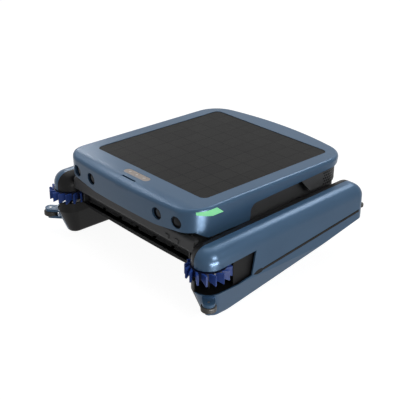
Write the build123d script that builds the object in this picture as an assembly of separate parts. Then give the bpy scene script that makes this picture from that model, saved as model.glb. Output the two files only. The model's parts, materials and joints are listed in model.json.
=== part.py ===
from build123d import *
import os
from math import cos, radians, sin

# Solar pool skimmer on two pontoons
# X runs across, the front faces -Y and Z goes up from the keels, all in millimetres

# Gaps and fits
SEAM_GAP = 0.4
RUN_GAP = 0.05
SLIDE_GAP = 0.5
SWEEP_GAP = 2.0
SEAT_GAP = 0.2

# Pontoon form
PONTOON_X = 226.0
PONTOON_WIDTH = 64.0
NOSE_Y = -188.0
STERN_SETBACK = 23.0
STERN_ROUND = 20.0
KNUCKLE_Z = 58.0
KEEL_DRAFT = 14.0
KEEL_ROUND = 10.0
STEM_RAKE = 10.0
RIDGE_FRONT_Z = 146.0
RIDGE_REAR_Z = 156.0
RIDGE_ROUND = 27.0
SHELL_WALL = 3.0
SPLIT_OFFSET = 4.0
CHINE_OFFSET = 22.0
CHINE_SLOPE = 0.4
CHINE_RISE = 0.189
ROCKER_REACH = 165.0
ROCKER_LENGTH = 115.0
ROCKER_RISE = 52.0
STERN_FOOT_Z = 90.0

# Brush bay in the nose of a pontoon
BAY_ROOF_Z = 108.0
BAY_ROOF_RISE = 6.0
BAY_LIP_RISE = 6.0
BAY_LIP_RAMP = 34.0
BAY_REAR_Y = -101.0
BAY_LEAN = 10.0
BAY_INNER_Y = -142.0
BAY_INNER_DROP = 4.0
BAY_RECESS = 5.0
BAY_PLATE = 4.0
BAY_LIP = 3.0
BAY_BACK_Y = -84.0
BRUSH_RADIUS = 45.0
BRUSH_TOP_Z = 105.0
BRUSH_TIP_Z = 84.0
BRUSH_WEB_Z = 92.0
BRUSH_HUB_RADIUS = 34.0
BRUSH_VANES = 16
VANE_THICKNESS = 4.0
VANE_SWEEP = 58.0
BRUSH_SHAFT_RADIUS = 3.0
BRUSH_MOTOR_RADIUS = 17.0
BRUSH_MOTOR_HEIGHT = 15.0
BRUSH_SHAFT_DEPTH = 8.0

# Seam strip along the outer side of a pontoon
SEAM_RISE = 0.11
STRIP_HEIGHT = 6.0
STRIP_DEPTH = 1.6
STRIP_START_Y = -75.0
LENS_LENGTH = 27.0
LENS_HEIGHT = 9.5

# Guide rollers
FRONT_ROLLER_RADIUS = 15.0
FRONT_ROLLER_HEIGHT = 11.0
FRONT_ROLLER_Z = 42.0
FORK_ANGLE = -41.0
FORK_RADIUS = 12.0
FORK_FOOT_RADIUS = 7.0
FORK_PLATE = 6.0
ROLLER_PIN_RADIUS = 2.5
REAR_ROLLER_RADIUS = 9.0
REAR_ROLLER_HEIGHT = 8.0
REAR_ROLLER_REACH = 7.85
REAR_BRACKET_SIZE = 26.0
REAR_BRACKET_PLATE = 5.0

# Thruster pods under the hull, which also stand on the ground
THRUSTER_X = 150.0
THRUSTER_Z = 25.4
DUCT_RADIUS = 26.0
DUCT_WALL = 3.0
DUCT_Y = (100.0, 156.0)
DUCT_INSET = 4.0
PYLON_HALF = 7.0
THRUSTER_RADIUS = 9.0
THRUSTER_LENGTH = 32.0
SLEEVE_WALL = 2.5
STRUTS = 3
STRUT_THICKNESS = 2.4
PROP_GAP = 8.0
PROP_HUB_RADIUS = 7.0
PROP_HUB_LENGTH = 10.0
PROP_BLADES = 3
PROP_TIP_GAP = 2.0
PROP_BLADE_CHORD = 10.0
PROP_BLADE_THICKNESS = 2.0
PROP_PITCH = 35.0
PROP_SHAFT_RADIUS = 2.5
PROP_SHAFT_DEPTH = 12.0

# Battery pack in each pontoon
BATTERY_WIDTH = 40.0
BATTERY_LENGTH = 150.0
BATTERY_HEIGHT = 42.0
BATTERY_Y = 10.0
BATTERY_Z = 88.0

# Deck lid
LID_WIDTH = 410.0
LID_FRONT_Y = -215.5
LID_REAR_MARGIN = 48.5
LID_TOP_Z = 205.0
SKIRT_Z = 142.0
FRONT_SKIRT_Z = 146.0
FRONT_BOW = 8.0
REAR_BOW = 28.0
LID_DRAFT = 5.0
FRONT_CORNER = 52.0
REAR_CORNER = 64.0
FOOT_CORNER = 40.0
LID_ROUND = 7.0
CROWN_DROP = 9.0
CROWN_SETBACK = 0.5
FOOT_RISE_X = 96.0
FOOT_RISE_Y = (-194.0, -164.0)
FOOT_RISE = 14.0
LID_WALL = 3.0
SIDE_CUT_Y = -57.0
SIDE_CUT_DROP = 29.0
SIDE_CUT_RISE = 0.045
SIDE_CUT_ROUND = 16.0
LINER_DROP = 22.0
LINER_THICKNESS = 3.0
LINER_INSET = 16.0

# Solar panel in the deck
PANEL_WIDTH = 340.0
PANEL_LENGTH = 349.0
PANEL_FRONT_Y = -149.5
PANEL_CORNER = 14.0
PANEL_THICKNESS = 3.2
PANEL_SINK = 0.8
PANEL_LEDGE = 10.0
GASKET_THICKNESS = 0.8
FRAME_WALL = 5.0
BOARD_WIDTH = 120.0
BOARD_LENGTH = 80.0
BOARD_THICKNESS = 1.6
BOARD_POST = 4.0
CHIP_SIZE = 18.0
CHIP_HEIGHT = 2.0

# Controls and sensors in the deck
PAD_LENGTH = 74.0
PAD_WIDTH = 17.0
PAD_SETBACK = 10.5
PAD_THICKNESS = 1.8
PAD_SINK = 0.2
KEY_RADIUS = 5.5
KEY_PITCH = 22.0
KEY_TRAVEL = 0.8
KEY_HEIGHT = 1.6
LATCH_WIDTH = 40.0
LATCH_LENGTH = 20.0
LATCH_HEIGHT = 14.0
LATCH_TRAVEL = 3.0
LATCH_SLOT = 3.5
LATCH_FLOOR = 4.0
SENSOR_INNER_X = 106.0
SENSOR_OUTER_X = 158.0
SENSOR_RAISE = 3.0
SENSOR_HOLE_RADIUS = 12.5
SENSOR_LENGTH = 14.0
SENSOR_SINK = 4.5
SENSOR_COLLAR = 2.5
SENSOR_COLLAR_LENGTH = 4.0
SENSOR_TOE = 14.0
SENSOR_DISC_RADIUS = 10.5
SENSOR_DISH = 1.5
LIGHT_START_Y = -190.0
LIGHT_TOP_Y = -147.0
LIGHT_FOOT_Y = -156.0
LIGHT_TIP_Y = -130.0
LIGHT_DEPTH = 26.0
LIGHT_DROP = 5.0
LIGHT_START_HEIGHT = 5.5
LIGHT_HEIGHT = 14.0

# Hull between the pontoons
HULL_FLOOR_Z = 56.0
HULL_WALL = 4.0
HULL_FRONT_Y = -140.0
HULL_SETBACK = 44.0
HULL_STEP_Z = 130.0
LID_REST_GAP = 0.4
HULL_STEP = 15.0
MOUTH_HALF = 166.0
MOUTH_FLOOR_Z = 78.0
MOUTH_TOP_Z = 122.0
CHEEK_X = 174.0
CHEEK_WALL = 4.0
BEAM_FRONT_Y = -196.0
BEAM_DEPTH = 12.0
BEAM_FLOOR_Z = 115.0
BEAM_TOP_Z = 143.0
BEAM_ROUND = 5.0
CLIP_X = 118.0
CLIP_PITCH = 28.0
CLIP_WIDTH = 11.0
CLIP_HEIGHT = 9.0
CLIP_DEPTH = 1.6
CHIN_LIP_Y = -191.0
CHIN_LIP_Z = 90.0
CHIN_FOOT_Y = -164.0
CHIN_WALL = 4.0
CHIN_FLOOR_Z = 58.0
CHIN_ARC_RISE = 10.0
CHIN_CORNER = 24.0

# Intake roller and flap
PADDLE_Y = -162.0
PADDLE_Z = 99.0
PADDLE_RADIUS = 19.0
TUBE_RADIUS = 14.0
TUBE_WALL = 1.6
PADDLE_FINS = 6
PADDLE_FIN = 2.4
PADDLE_SEGMENTS = 6
PADDLE_NOTCH = 10.0
PADDLE_END_GAP = 2.0
MOTOR_TUBE_LENGTH = 110.0
MOTOR_TUBE_GAP = 1.0
DRIVE_LENGTH = 8.0
STUB_RADIUS = 5.0
STUB_LENGTH = 18.0
FLAP_Y = -129.0
FLAP_Z = 126.0
FLAP_HALF = 152.0
FLAP_FOOT_Z = 81.0
FLAP_THICKNESS = 2.4
FLAP_BARREL = 5.0
FLAP_PIN_RADIUS = 2.0
FLAP_PIN_LENGTH = 6.0
LUG_WIDTH = 8.0
LUG_RADIUS = 6.0

# Basket that pulls out at the rear
BASKET_HALF = 166.0
BASKET_FRONT_Y = -112.0
BASKET_FLOOR_Z = 64.0
BASKET_TOP_Z = 150.0
BASKET_WALL = 2.4
BASKET_SLOTS = 11
BASKET_SLOT = 8.0
BASKET_RIB = 22.0
RAIL_HALF = 140.0
RAIL_WIDTH = 8.0
END_INSET = 7.0
END_WALL = 3.0
END_DROP = 24.0
END_REAR_DROP = 33.0
END_SIDE_Z = 150.0
END_FLOOR_Z = 66.0
END_HALF = 172.0
END_CUT_SETBACK = 34.0
END_EDGE_SETBACK = 160.0
END_EDGE_LEAN = 28.0
SCREEN_WIDTH = 300.0
SCREEN_FLOOR_Z = 76.0
SCREEN_MARGIN = 5.0
SCREEN_COLUMNS = 24
SCREEN_ROWS = 5
SCREEN_BAR = 3.0
SCREEN_THICKNESS = 2.0
GRIP_WIDTH = 110.0
GRIP_HEIGHT = 23.0
GRIP_MARGIN = 6.0
GRIP_DEPTH = 22.0
GRIP_WALL = 2.0

# Rear hinge of the lid
HINGE_SETBACK = 16.0
HINGE_DROP = 14.0
HINGE_X = 52.0
HINGE_LEAF = 9.0
HINGE_BARREL = 5.0
HINGE_PIN_RADIUS = 2.0
HINGE_ARM_SETBACK = (60.0, 48.0)
HINGE_BAR_DROP = 10.5

# Bolts and screws
BOLT_RADIUS = 2.5
BOLT_HEAD_RADIUS = 4.5
BOLT_HEAD = 3.5
BOLT_HOLE_GAP = 0.3
BOLT_Z = 100.0
BOLT_ROW_Y = (-110.0, -20.0, 70.0)
BOLT_SETBACK = 44.0
SCREW_RADIUS = 1.5
SCREW_HEAD_RADIUS = 3.0
SCREW_HEAD = 2.0
SCREW_ROW_X = (-150.0, 0.0, 150.0)
POST_RADIUS = 4.5

# Values that follow from the sizes above
PANEL_Y = PANEL_FRONT_Y + PANEL_LENGTH / 2
LID_REAR_Y = PANEL_FRONT_Y + PANEL_LENGTH + LID_REAR_MARGIN
STERN_Y = LID_REAR_Y - STERN_SETBACK
ROCKER_Y = STERN_Y - ROCKER_REACH
HULL_REAR_Y = LID_REAR_Y - HULL_SETBACK
HINGE_Y = LID_REAR_Y - HINGE_SETBACK
HINGE_ARM_Y = (LID_REAR_Y - HINGE_ARM_SETBACK[0], LID_REAR_Y - HINGE_ARM_SETBACK[1])
END_CUT_Y = LID_REAR_Y - END_CUT_SETBACK
END_EDGE_Y = LID_REAR_Y - END_EDGE_SETBACK
LINER_Z = LID_TOP_Z - LINER_DROP
HINGE_Z = LID_TOP_Z - HINGE_DROP
HINGE_BAR_Z = LINER_Z - HINGE_BAR_DROP
END_TOP_Z = LID_TOP_Z - END_DROP
END_REAR_TOP_Z = LID_TOP_Z - END_REAR_DROP
GRIP_TOP_Z = END_REAR_TOP_Z - GRIP_MARGIN
GRIP_FLOOR_Z = GRIP_TOP_Z - GRIP_HEIGHT
SCREEN_TOP_Z = GRIP_FLOOR_Z - SCREEN_MARGIN
SIDE_CUT_Z = LID_TOP_Z - SIDE_CUT_DROP
SENSOR_Z = (SKIRT_Z + LID_TOP_Z - CROWN_DROP) / 2 + SENSOR_RAISE
PAD_Y = LID_FRONT_Y + LATCH_LENGTH + LATCH_SLOT + PAD_SETBACK + PAD_WIDTH / 2
CROWN_START_Y = PAD_Y - PAD_WIDTH / 2 - CROWN_SETBACK
PONTOON_HALF = PONTOON_WIDTH / 2
HULL_HALF = PONTOON_X - PONTOON_HALF
SPLIT_X = PONTOON_X - SPLIT_OFFSET
OUTER_X = PONTOON_X + PONTOON_HALF
BAY_FLOOR_Z = KNUCKLE_Z
BAY_REAR_ROOF_Z = BAY_ROOF_Z + BAY_ROOF_RISE
SEAM_FRONT_Z = BAY_FLOOR_Z + BAY_LIP_RISE
BAY_FOOT_Y = BAY_REAR_Y - BAY_LEAN / 2
BAY_HEAD_Y = BAY_REAR_Y + BAY_LEAN / 2
PLATE_FLOOR_Z = BAY_FLOOR_Z - BAY_LIP
PLATE_ROOF_Z = BAY_REAR_ROOF_Z + BAY_LIP
ROLLER_TOP_Z = FRONT_ROLLER_Z + FRONT_ROLLER_HEIGHT / 2
ROLLER_FLOOR_Z = FRONT_ROLLER_Z - FRONT_ROLLER_HEIGHT / 2
NOSE_RADIUS = PONTOON_HALF - KEEL_DRAFT * (KNUCKLE_Z - ROLLER_TOP_Z) / KNUCKLE_Z
FORK_REACH = NOSE_RADIUS + FRONT_ROLLER_RADIUS + SWEEP_GAP
FORK_X = PONTOON_X + FORK_REACH * cos(radians(FORK_ANGLE))
FORK_Y = NOSE_Y + FORK_REACH * sin(radians(FORK_ANGLE))
CENTRE_Y = (LID_REAR_Y + FORK_Y - FRONT_ROLLER_RADIUS) / 2
FAR = 400.0


def span(x, y, z):
    """Box between pairs of limits."""
    centre = Pos((x[0] + x[1]) / 2, (y[0] + y[1]) / 2, (z[0] + z[1]) / 2)
    return centre * Box(x[1] - x[0], y[1] - y[0], z[1] - z[0])


def rod_x(radius, x, y, z):
    """Round bar along X."""
    return Pos((x[0] + x[1]) / 2, y, z) * Rot(0, 90, 0) * Cylinder(radius, x[1] - x[0])


def rod_y(radius, x, y, z):
    """Round bar along Y."""
    return Pos(x, (y[0] + y[1]) / 2, z) * Rot(90, 0, 0) * Cylinder(radius, y[1] - y[0])


def rod_z(radius, x, y, z):
    """Round bar along Z."""
    return Pos(x, y, (z[0] + z[1]) / 2) * Cylinder(radius, z[1] - z[0])


def side_prism(points, x):
    """Outline in Y and Z carried along X."""
    face = make_face(Polyline(*points, close=True))
    return extrude(Plane.YZ.offset(x[0]) * face, x[1] - x[0], dir=(1, 0, 0))


def both_sides(shape):
    """The shape and its mirror image."""
    return shape + mirror(shape, about=Plane.YZ)


def save(name, shape):
    """Write one node, with the whole centred over the origin."""
    export_step(Pos(0, -CENTRE_Y, 0) * shape, f"parts/{name}.step")


def save_pair(name, shape):
    """Write the right node and its mirror image."""
    save(f"{name}_right", shape)
    save(f"{name}_left", mirror(shape, about=Plane.YZ))


def seam_z(y):
    """Height of the sloping seam on the pontoon's outer side."""
    return SEAM_FRONT_Z + SEAM_RISE * (y - BAY_FOOT_Y)


def hull_plan(half, nose_y, stern_y, corner):
    """Plan of a pontoon with a round nose and rounded stern corners."""
    body = Pos(PONTOON_X, (nose_y + stern_y) / 2) * Rectangle(2 * half, stern_y - nose_y)
    body = fillet(body.vertices().group_by(Axis.Y)[-1], corner)
    return body + Pos(PONTOON_X, nose_y) * Circle(half)


def upper_form(inset):
    """Pontoon above the knuckle, with the ridge rounded over."""
    plan = hull_plan(PONTOON_HALF - inset, NOSE_Y, STERN_Y - inset, STERN_ROUND - inset)
    block = extrude(Pos(0, 0, KNUCKLE_Z) * plan, RIDGE_REAR_Z)
    rise = (RIDGE_REAR_Z - RIDGE_FRONT_Z) / (STERN_Y - NOSE_Y)
    nose_top = (PONTOON_X, NOSE_Y, RIDGE_FRONT_Z - inset)
    ridge = Plane(origin=nose_top, x_dir=(1, 0, 0), z_dir=(0, -rise, 1))
    block = split(block, ridge, keep=Keep.BOTTOM)
    return fillet(block.faces().sort_by(Axis.Z)[-1].edges(), RIDGE_ROUND - inset)


def stern_cut(inset):
    """What is cut away under the stern."""
    start = (ROCKER_Y - inset, inset)
    rise = (ROCKER_Y + ROCKER_LENGTH - inset, ROCKER_RISE + inset)
    end = (STERN_Y, STERN_FOOT_Z + inset)
    ramp = Line(start, rise)
    turn = TangentArc(rise, end, tangent=(ROCKER_LENGTH, ROCKER_RISE))
    rest = Polyline(end, (FAR, end[1]), (FAR, -FAR), (start[0], -FAR), start)
    face = make_face(ramp + turn + rest)
    return extrude(Plane.YZ * face, FAR, dir=(1, 0, 0))


def chine_plane(inset):
    """Plane that shaves the outer bilge, more towards the stern."""
    up = (-CHINE_SLOPE, -CHINE_RISE, 1)
    return Plane(origin=(PONTOON_X + CHINE_OFFSET, NOSE_Y, 0), z_dir=up).offset(inset)


def lower_form(inset, keel_round):
    """Pontoon below the knuckle, drawn in towards the keel."""
    half = PONTOON_HALF - inset
    top = hull_plan(half, NOSE_Y, STERN_Y - inset, STERN_ROUND - inset)
    corner = STERN_ROUND - KEEL_DRAFT / 2 - inset
    keel = hull_plan(half - KEEL_DRAFT, NOSE_Y + STEM_RAKE, STERN_Y - inset, corner)
    body = loft([Pos(0, 0, inset) * keel, Pos(0, 0, KNUCKLE_Z) * top], ruled=True)
    if keel_round > 0:
        body = fillet(body.faces().sort_by(Axis.Z)[0].edges(), keel_round)
    return body


def pontoon_form(inset, keel_round=0):
    """Whole pontoon, drawn in by the inset."""
    whole = upper_form(inset) + lower_form(inset, keel_round)
    whole = split(whole, chine_plane(inset), keep=Keep.TOP)
    return whole - stern_cut(inset)


os.makedirs("parts", exist_ok=True)

# Pontoon shells: one skin, split along the ridge, the bay and the seam
outer = pontoon_form(0, KEEL_ROUND)
hollow = pontoon_form(SHELL_WALL)
skin = outer - hollow
seam_end = (FAR, seam_z(FAR))
seam_start = (BAY_FOOT_Y, SEAM_FRONT_Z)
bay_roof = [(-FAR, BAY_ROOF_Z), (NOSE_Y, BAY_ROOF_Z), (BAY_HEAD_Y, BAY_REAR_ROOF_Z)]
bay_foot = [(-FAR, BAY_FLOOR_Z), (BAY_FOOT_Y - BAY_LIP_RAMP, BAY_FLOOR_Z)]
above = bay_roof + [seam_start, seam_end, (FAR, FAR), (-FAR, FAR)]
below = bay_foot + [seam_start, seam_end, (FAR, -FAR), (-FAR, -FAR)]
outboard = (SPLIT_X + SEAM_GAP / 2, FAR)
upper_zone = side_prism([(y, z + SEAM_GAP / 2) for y, z in above], outboard)
lower_zone = side_prism([(y, z - SEAM_GAP / 2) for y, z in below], outboard)
inner_zone = span((0, SPLIT_X - SEAM_GAP / 2), (-FAR, FAR), (-FAR, FAR))
inner_bay = span((0, FAR), (-FAR, BAY_INNER_Y), (BRUSH_TIP_Z - BAY_INNER_DROP, BAY_ROOF_Z))
upper_shell = skin & upper_zone
lower_shell = skin & lower_zone
inner_shell = (skin & inner_zone) - inner_bay

# Seam strip with its lens-shaped front end
strip_end_y = STERN_Y - STERN_ROUND
half_strip = STRIP_HEIGHT / 2
strip_outline = [
    (STRIP_START_Y, seam_z(STRIP_START_Y) - half_strip),
    (strip_end_y, seam_z(strip_end_y) - half_strip),
    (strip_end_y, seam_z(strip_end_y) + half_strip),
    (STRIP_START_Y, seam_z(STRIP_START_Y) + half_strip),
]
strip_x = (OUTER_X - STRIP_DEPTH, OUTER_X)
lens_y = STRIP_START_Y - LENS_LENGTH
lens_mid = STRIP_START_Y - LENS_LENGTH / 2
lens_top = ThreePointArc(
    (lens_y, seam_z(lens_y)),
    (lens_mid, seam_z(lens_mid) + LENS_HEIGHT / 2),
    (STRIP_START_Y + half_strip, seam_z(STRIP_START_Y)),
)
lens_foot = ThreePointArc(
    (STRIP_START_Y + half_strip, seam_z(STRIP_START_Y)),
    (lens_mid, seam_z(lens_mid) - LENS_HEIGHT / 2),
    (lens_y, seam_z(lens_y)),
)
lens_face = make_face(lens_top + lens_foot)
lens = extrude(Plane.YZ.offset(strip_x[0]) * lens_face, STRIP_DEPTH, dir=(1, 0, 0))
strip = side_prism(strip_outline, strip_x) + lens
upper_shell -= strip
lower_shell -= strip

# Brush bay: plates above and below, and the wall behind the brush
bay_zone = span((0, FAR), (-FAR, BAY_BACK_Y), (PLATE_FLOOR_Z, PLATE_ROOF_Z))
floor_zone = span((0, FAR), (-FAR, BAY_BACK_Y), (PLATE_FLOOR_Z - BAY_PLATE, PLATE_FLOOR_Z))
roof_zone = span((0, FAR), (-FAR, BAY_BACK_Y), (PLATE_ROOF_Z, PLATE_ROOF_Z + BAY_PLATE))
core = pontoon_form(SHELL_WALL + BAY_RECESS) & bay_zone
core -= rod_z(BRUSH_RADIUS + SWEEP_GAP, PONTOON_X, NOSE_Y, (PLATE_FLOOR_Z, PLATE_ROOF_Z))
bay = core + (hollow & floor_zone) + (hollow & roof_zone)
shaft_hole = BRUSH_SHAFT_RADIUS + RUN_GAP
bay -= rod_z(shaft_hole, PONTOON_X, NOSE_Y, (0, FAR))

# Brush: hub, swept vanes with pointed tips, and its shaft
vane_root = BRUSH_HUB_RADIUS - VANE_THICKNESS
sweep = radians(VANE_SWEEP)
vane_length = (BRUSH_RADIUS ** 2 - (vane_root * sin(sweep)) ** 2) ** 0.5 - vane_root * cos(sweep)
vane_length -= VANE_THICKNESS / 2
vane_points = [
    (0, BRUSH_TOP_Z),
    (vane_length, BRUSH_TOP_Z),
    (vane_length, BRUSH_TIP_Z),
    (0, BRUSH_WEB_Z),
]
vane_face = make_face(Polyline(*vane_points, close=True))
vane = extrude(Plane.XZ * vane_face, VANE_THICKNESS / 2, both=True)
vane = Pos(vane_root, 0, 0) * Rot(0, 0, VANE_SWEEP) * vane
hub = rod_z(BRUSH_HUB_RADIUS, 0, 0, (BRUSH_WEB_Z, BRUSH_TOP_Z))
brush = hub + [Rot(0, 0, turn * 360 / BRUSH_VANES) * vane for turn in range(BRUSH_VANES)]
brush -= rod_z(BRUSH_SHAFT_RADIUS, 0, 0, (0, FAR))
brush = Pos(PONTOON_X, NOSE_Y, 0) * brush
motor_floor_z = PLATE_ROOF_Z + BAY_PLATE
shaft_z = (PLATE_FLOOR_Z - BAY_PLATE, motor_floor_z + BRUSH_SHAFT_DEPTH)
brush_shaft = rod_z(BRUSH_SHAFT_RADIUS, PONTOON_X, NOSE_Y, shaft_z)
motor_z = (motor_floor_z, motor_floor_z + BRUSH_MOTOR_HEIGHT)
brush_motor = rod_z(BRUSH_MOTOR_RADIUS, PONTOON_X, NOSE_Y, motor_z)
brush_motor -= rod_z(shaft_hole, PONTOON_X, NOSE_Y, (0, motor_floor_z + BRUSH_SHAFT_DEPTH + RUN_GAP))

# Front guide roller on its fork
fork_start = NOSE_RADIUS - FORK_RADIUS


def fork_tongue(radius, z):
    """Plate with a round end over or under the roller."""
    plate = Pos((fork_start - FORK_REACH) / 2) * Rectangle(FORK_REACH - fork_start, 2 * radius)
    plate += Circle(radius)
    return extrude(Pos(FORK_X, FORK_Y, z) * Rot(0, 0, FORK_ANGLE) * plate, FORK_PLATE)


upper_tongue = fork_tongue(FORK_RADIUS, ROLLER_TOP_Z + SLIDE_GAP)
lower_tongue = fork_tongue(FORK_FOOT_RADIUS, ROLLER_FLOOR_Z - SLIDE_GAP - FORK_PLATE)
lower_shell += upper_tongue - hollow
lower_shell += lower_tongue - hollow
front_pin_z = (ROLLER_FLOOR_Z - SLIDE_GAP - FORK_PLATE, ROLLER_TOP_Z + SLIDE_GAP + FORK_PLATE)
front_pin = rod_z(ROLLER_PIN_RADIUS, FORK_X, FORK_Y, front_pin_z)
lower_shell -= front_pin
roller_bore = ROLLER_PIN_RADIUS + RUN_GAP
front_roller = rod_z(FRONT_ROLLER_RADIUS, FORK_X, FORK_Y, (ROLLER_FLOOR_Z, ROLLER_TOP_Z))
rim_edges = front_roller.edges().filter_by(GeomType.CIRCLE)
front_roller = fillet(rim_edges, FRONT_ROLLER_HEIGHT / 4)
front_roller -= rod_z(roller_bore, FORK_X, FORK_Y, (0, FAR))

# Rear guide roller in a bracket behind the seam
rear_z = seam_z(STERN_Y)
rear_x = OUTER_X - STERN_ROUND / 2 - REAR_ROLLER_RADIUS / 2
rear_y = STERN_Y + REAR_ROLLER_REACH - REAR_ROLLER_RADIUS
rear_low = rear_z - REAR_ROLLER_HEIGHT / 2
rear_high = rear_z + REAR_ROLLER_HEIGHT / 2
pocket_z = (rear_low - SLIDE_GAP, rear_high + SLIDE_GAP)
pocket = rod_z(REAR_ROLLER_RADIUS + SWEEP_GAP, rear_x, rear_y, pocket_z)
bracket_low = pocket_z[0] - REAR_BRACKET_PLATE
bracket_high = pocket_z[1] + REAR_BRACKET_PLATE
bracket_x = (OUTER_X - SHELL_WALL - REAR_BRACKET_SIZE, OUTER_X)
bracket_zone = span(bracket_x, (STERN_Y - REAR_BRACKET_SIZE, STERN_Y), (bracket_low, bracket_high))
rear_pin = rod_z(ROLLER_PIN_RADIUS, rear_x, rear_y, (bracket_low, bracket_high))
rear_hollow = hollow & bracket_zone
rear_bracket = rear_hollow - pocket - rear_pin
upper_shell -= pocket + rear_pin
lower_shell -= pocket + rear_pin
rear_roller = rod_z(REAR_ROLLER_RADIUS, rear_x, rear_y, (rear_low, rear_high))
rear_roller = fillet(rear_roller.edges().filter_by(GeomType.CIRCLE), REAR_ROLLER_HEIGHT / 4)
rear_roller -= rod_z(roller_bore, rear_x, rear_y, (0, FAR))

# Thruster pod: duct on a pylon, motor in a sleeve on struts, and propeller
duct_bore = DUCT_RADIUS - DUCT_WALL
sleeve_radius = THRUSTER_RADIUS + SLEEVE_WALL
sleeve_y = (DUCT_Y[0] + DUCT_INSET, DUCT_Y[0] + DUCT_INSET + THRUSTER_LENGTH)
duct = rod_y(DUCT_RADIUS, 0, DUCT_Y, 0) - rod_y(duct_bore, 0, DUCT_Y, 0)
strut_x = (-STRUT_THICKNESS / 2, STRUT_THICKNESS / 2)
strut = span(strut_x, sleeve_y, (THRUSTER_RADIUS, duct_bore + DUCT_WALL / 2))
duct += rod_y(sleeve_radius, 0, sleeve_y, 0)
duct += [Rot(0, turn * 360 / STRUTS, 0) * strut for turn in range(STRUTS)]
pylon_y = (DUCT_Y[0] + DUCT_INSET, DUCT_Y[1] - DUCT_INSET)
duct += span((-PYLON_HALF, PYLON_HALF), pylon_y, (duct_bore, HULL_FLOOR_Z - THRUSTER_Z))
duct -= rod_y(THRUSTER_RADIUS, 0, sleeve_y, 0)
duct_place = Pos(THRUSTER_X, 0, THRUSTER_Z)
duct = duct_place * duct - span((-FAR, FAR), (-FAR, FAR), (-FAR, 0))
prop_bore = PROP_SHAFT_RADIUS + RUN_GAP
prop_start = sleeve_y[1] - PROP_SHAFT_DEPTH
thruster = rod_y(THRUSTER_RADIUS, 0, sleeve_y, 0)
thruster -= rod_y(prop_bore, 0, (prop_start - RUN_GAP, sleeve_y[1]), 0)
prop_mid = sleeve_y[1] + PROP_GAP
prop_y = (prop_mid - PROP_HUB_LENGTH / 2, prop_mid + PROP_HUB_LENGTH / 2)
propeller = rod_y(PROP_HUB_RADIUS, 0, prop_y, 0)
blade_reach = duct_bore - PROP_TIP_GAP
blade = Rot(0, 0, PROP_PITCH) * Box(PROP_BLADE_CHORD, PROP_BLADE_THICKNESS, blade_reach)
blade = Pos(0, prop_mid, blade_reach / 2) * blade
propeller += [Rot(0, turn * 360 / PROP_BLADES, 0) * blade for turn in range(PROP_BLADES)]
propeller += rod_y(PROP_SHAFT_RADIUS, 0, (prop_start, prop_mid), 0)

# Battery pack against the inner shell
battery_x = (HULL_HALF + SHELL_WALL, HULL_HALF + SHELL_WALL + BATTERY_WIDTH)
battery_y = (BATTERY_Y - BATTERY_LENGTH / 2, BATTERY_Y + BATTERY_LENGTH / 2)
battery_z = (BATTERY_Z - BATTERY_HEIGHT / 2, BATTERY_Z + BATTERY_HEIGHT / 2)
battery = span(battery_x, battery_y, battery_z)
battery = fillet(battery.edges().filter_by(Axis.Y), SHELL_WALL)

# Bolts from the hull into the inner shell
bolt_rows = [(y, BOLT_Z) for y in BOLT_ROW_Y + (HULL_REAR_Y - BOLT_SETBACK,)]
bolt_x = (HULL_HALF - HULL_WALL, HULL_HALF + SHELL_WALL)
bolts = Part()
bolt_holes = Part()
for bolt_y, bolt_z in bolt_rows:
    bolts += rod_x(BOLT_RADIUS, bolt_x, bolt_y, bolt_z)
    bolts += rod_x(BOLT_HEAD_RADIUS, (bolt_x[0] - BOLT_HEAD, bolt_x[0]), bolt_y, bolt_z)
    bolt_holes += rod_x(BOLT_RADIUS + BOLT_HOLE_GAP, (bolt_x[0], bolt_x[1]), bolt_y, bolt_z)
inner_shell -= bolt_holes

save_pair("pontoon_upper", upper_shell)
save_pair("pontoon_lower", lower_shell)
save_pair("pontoon_inner", inner_shell)
save_pair("seam_strip", strip)
save_pair("brush_bay", bay)
save_pair("side_brush", brush)
save_pair("brush_shaft", brush_shaft)
save_pair("brush_motor", brush_motor)
save_pair("front_roller", front_roller)
save_pair("rear_roller", rear_roller)
save_pair("thruster_duct", duct)
save_pair("thruster_motor", duct_place * thruster)
save_pair("propeller", duct_place * propeller)
save_pair("battery_pack", battery)
save("rear_brackets", both_sides(rear_bracket))
save("roller_pins", both_sides(front_pin + rear_pin))
save("pontoon_bolts", both_sides(bolts))

# Deck lid: a drafted form with a curved front and its top edge rounded over
def lid_plan(inset, front_corner, rear_corner):
    """Plan of the deck with a bowed front and rear and rounded corners."""
    half = LID_WIDTH / 2 - inset
    front = LID_FRONT_Y + inset
    rear = LID_REAR_Y - inset
    shoulder = front + FRONT_BOW
    bow = ThreePointArc((-half, shoulder), (0, front), (half, shoulder))
    rear_shoulder = rear - REAR_BOW
    tail = ThreePointArc((half, rear_shoulder), (0, rear), (-half, rear_shoulder))
    right_side = Line((half, shoulder), (half, rear_shoulder))
    left_side = Line((-half, rear_shoulder), (-half, shoulder))
    face = make_face(bow + right_side + tail + left_side)
    face = fillet(face.vertices().sort_by(Axis.Y)[-2:], rear_corner - inset)
    return fillet(face.vertices().sort_by(Axis.Y)[:2], front_corner - inset)


def crown_zone(inset):
    """What lies under the deck's curved front, lowered by the inset."""
    start = (CROWN_START_Y, LID_TOP_Z - inset)
    end = (LID_FRONT_Y, LID_TOP_Z - CROWN_DROP - inset)
    crown = TangentArc(start, end, tangent=(-1, 0))
    floor = [end, (-FAR, end[1]), (-FAR, -FAR), (FAR, -FAR)]
    rest = Polyline(*floor, (FAR, FAR), (start[0], FAR), start)
    face = make_face(crown + rest)
    return extrude(Plane.YZ.offset(-FAR) * face, 2 * FAR, dir=(1, 0, 0))


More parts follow.
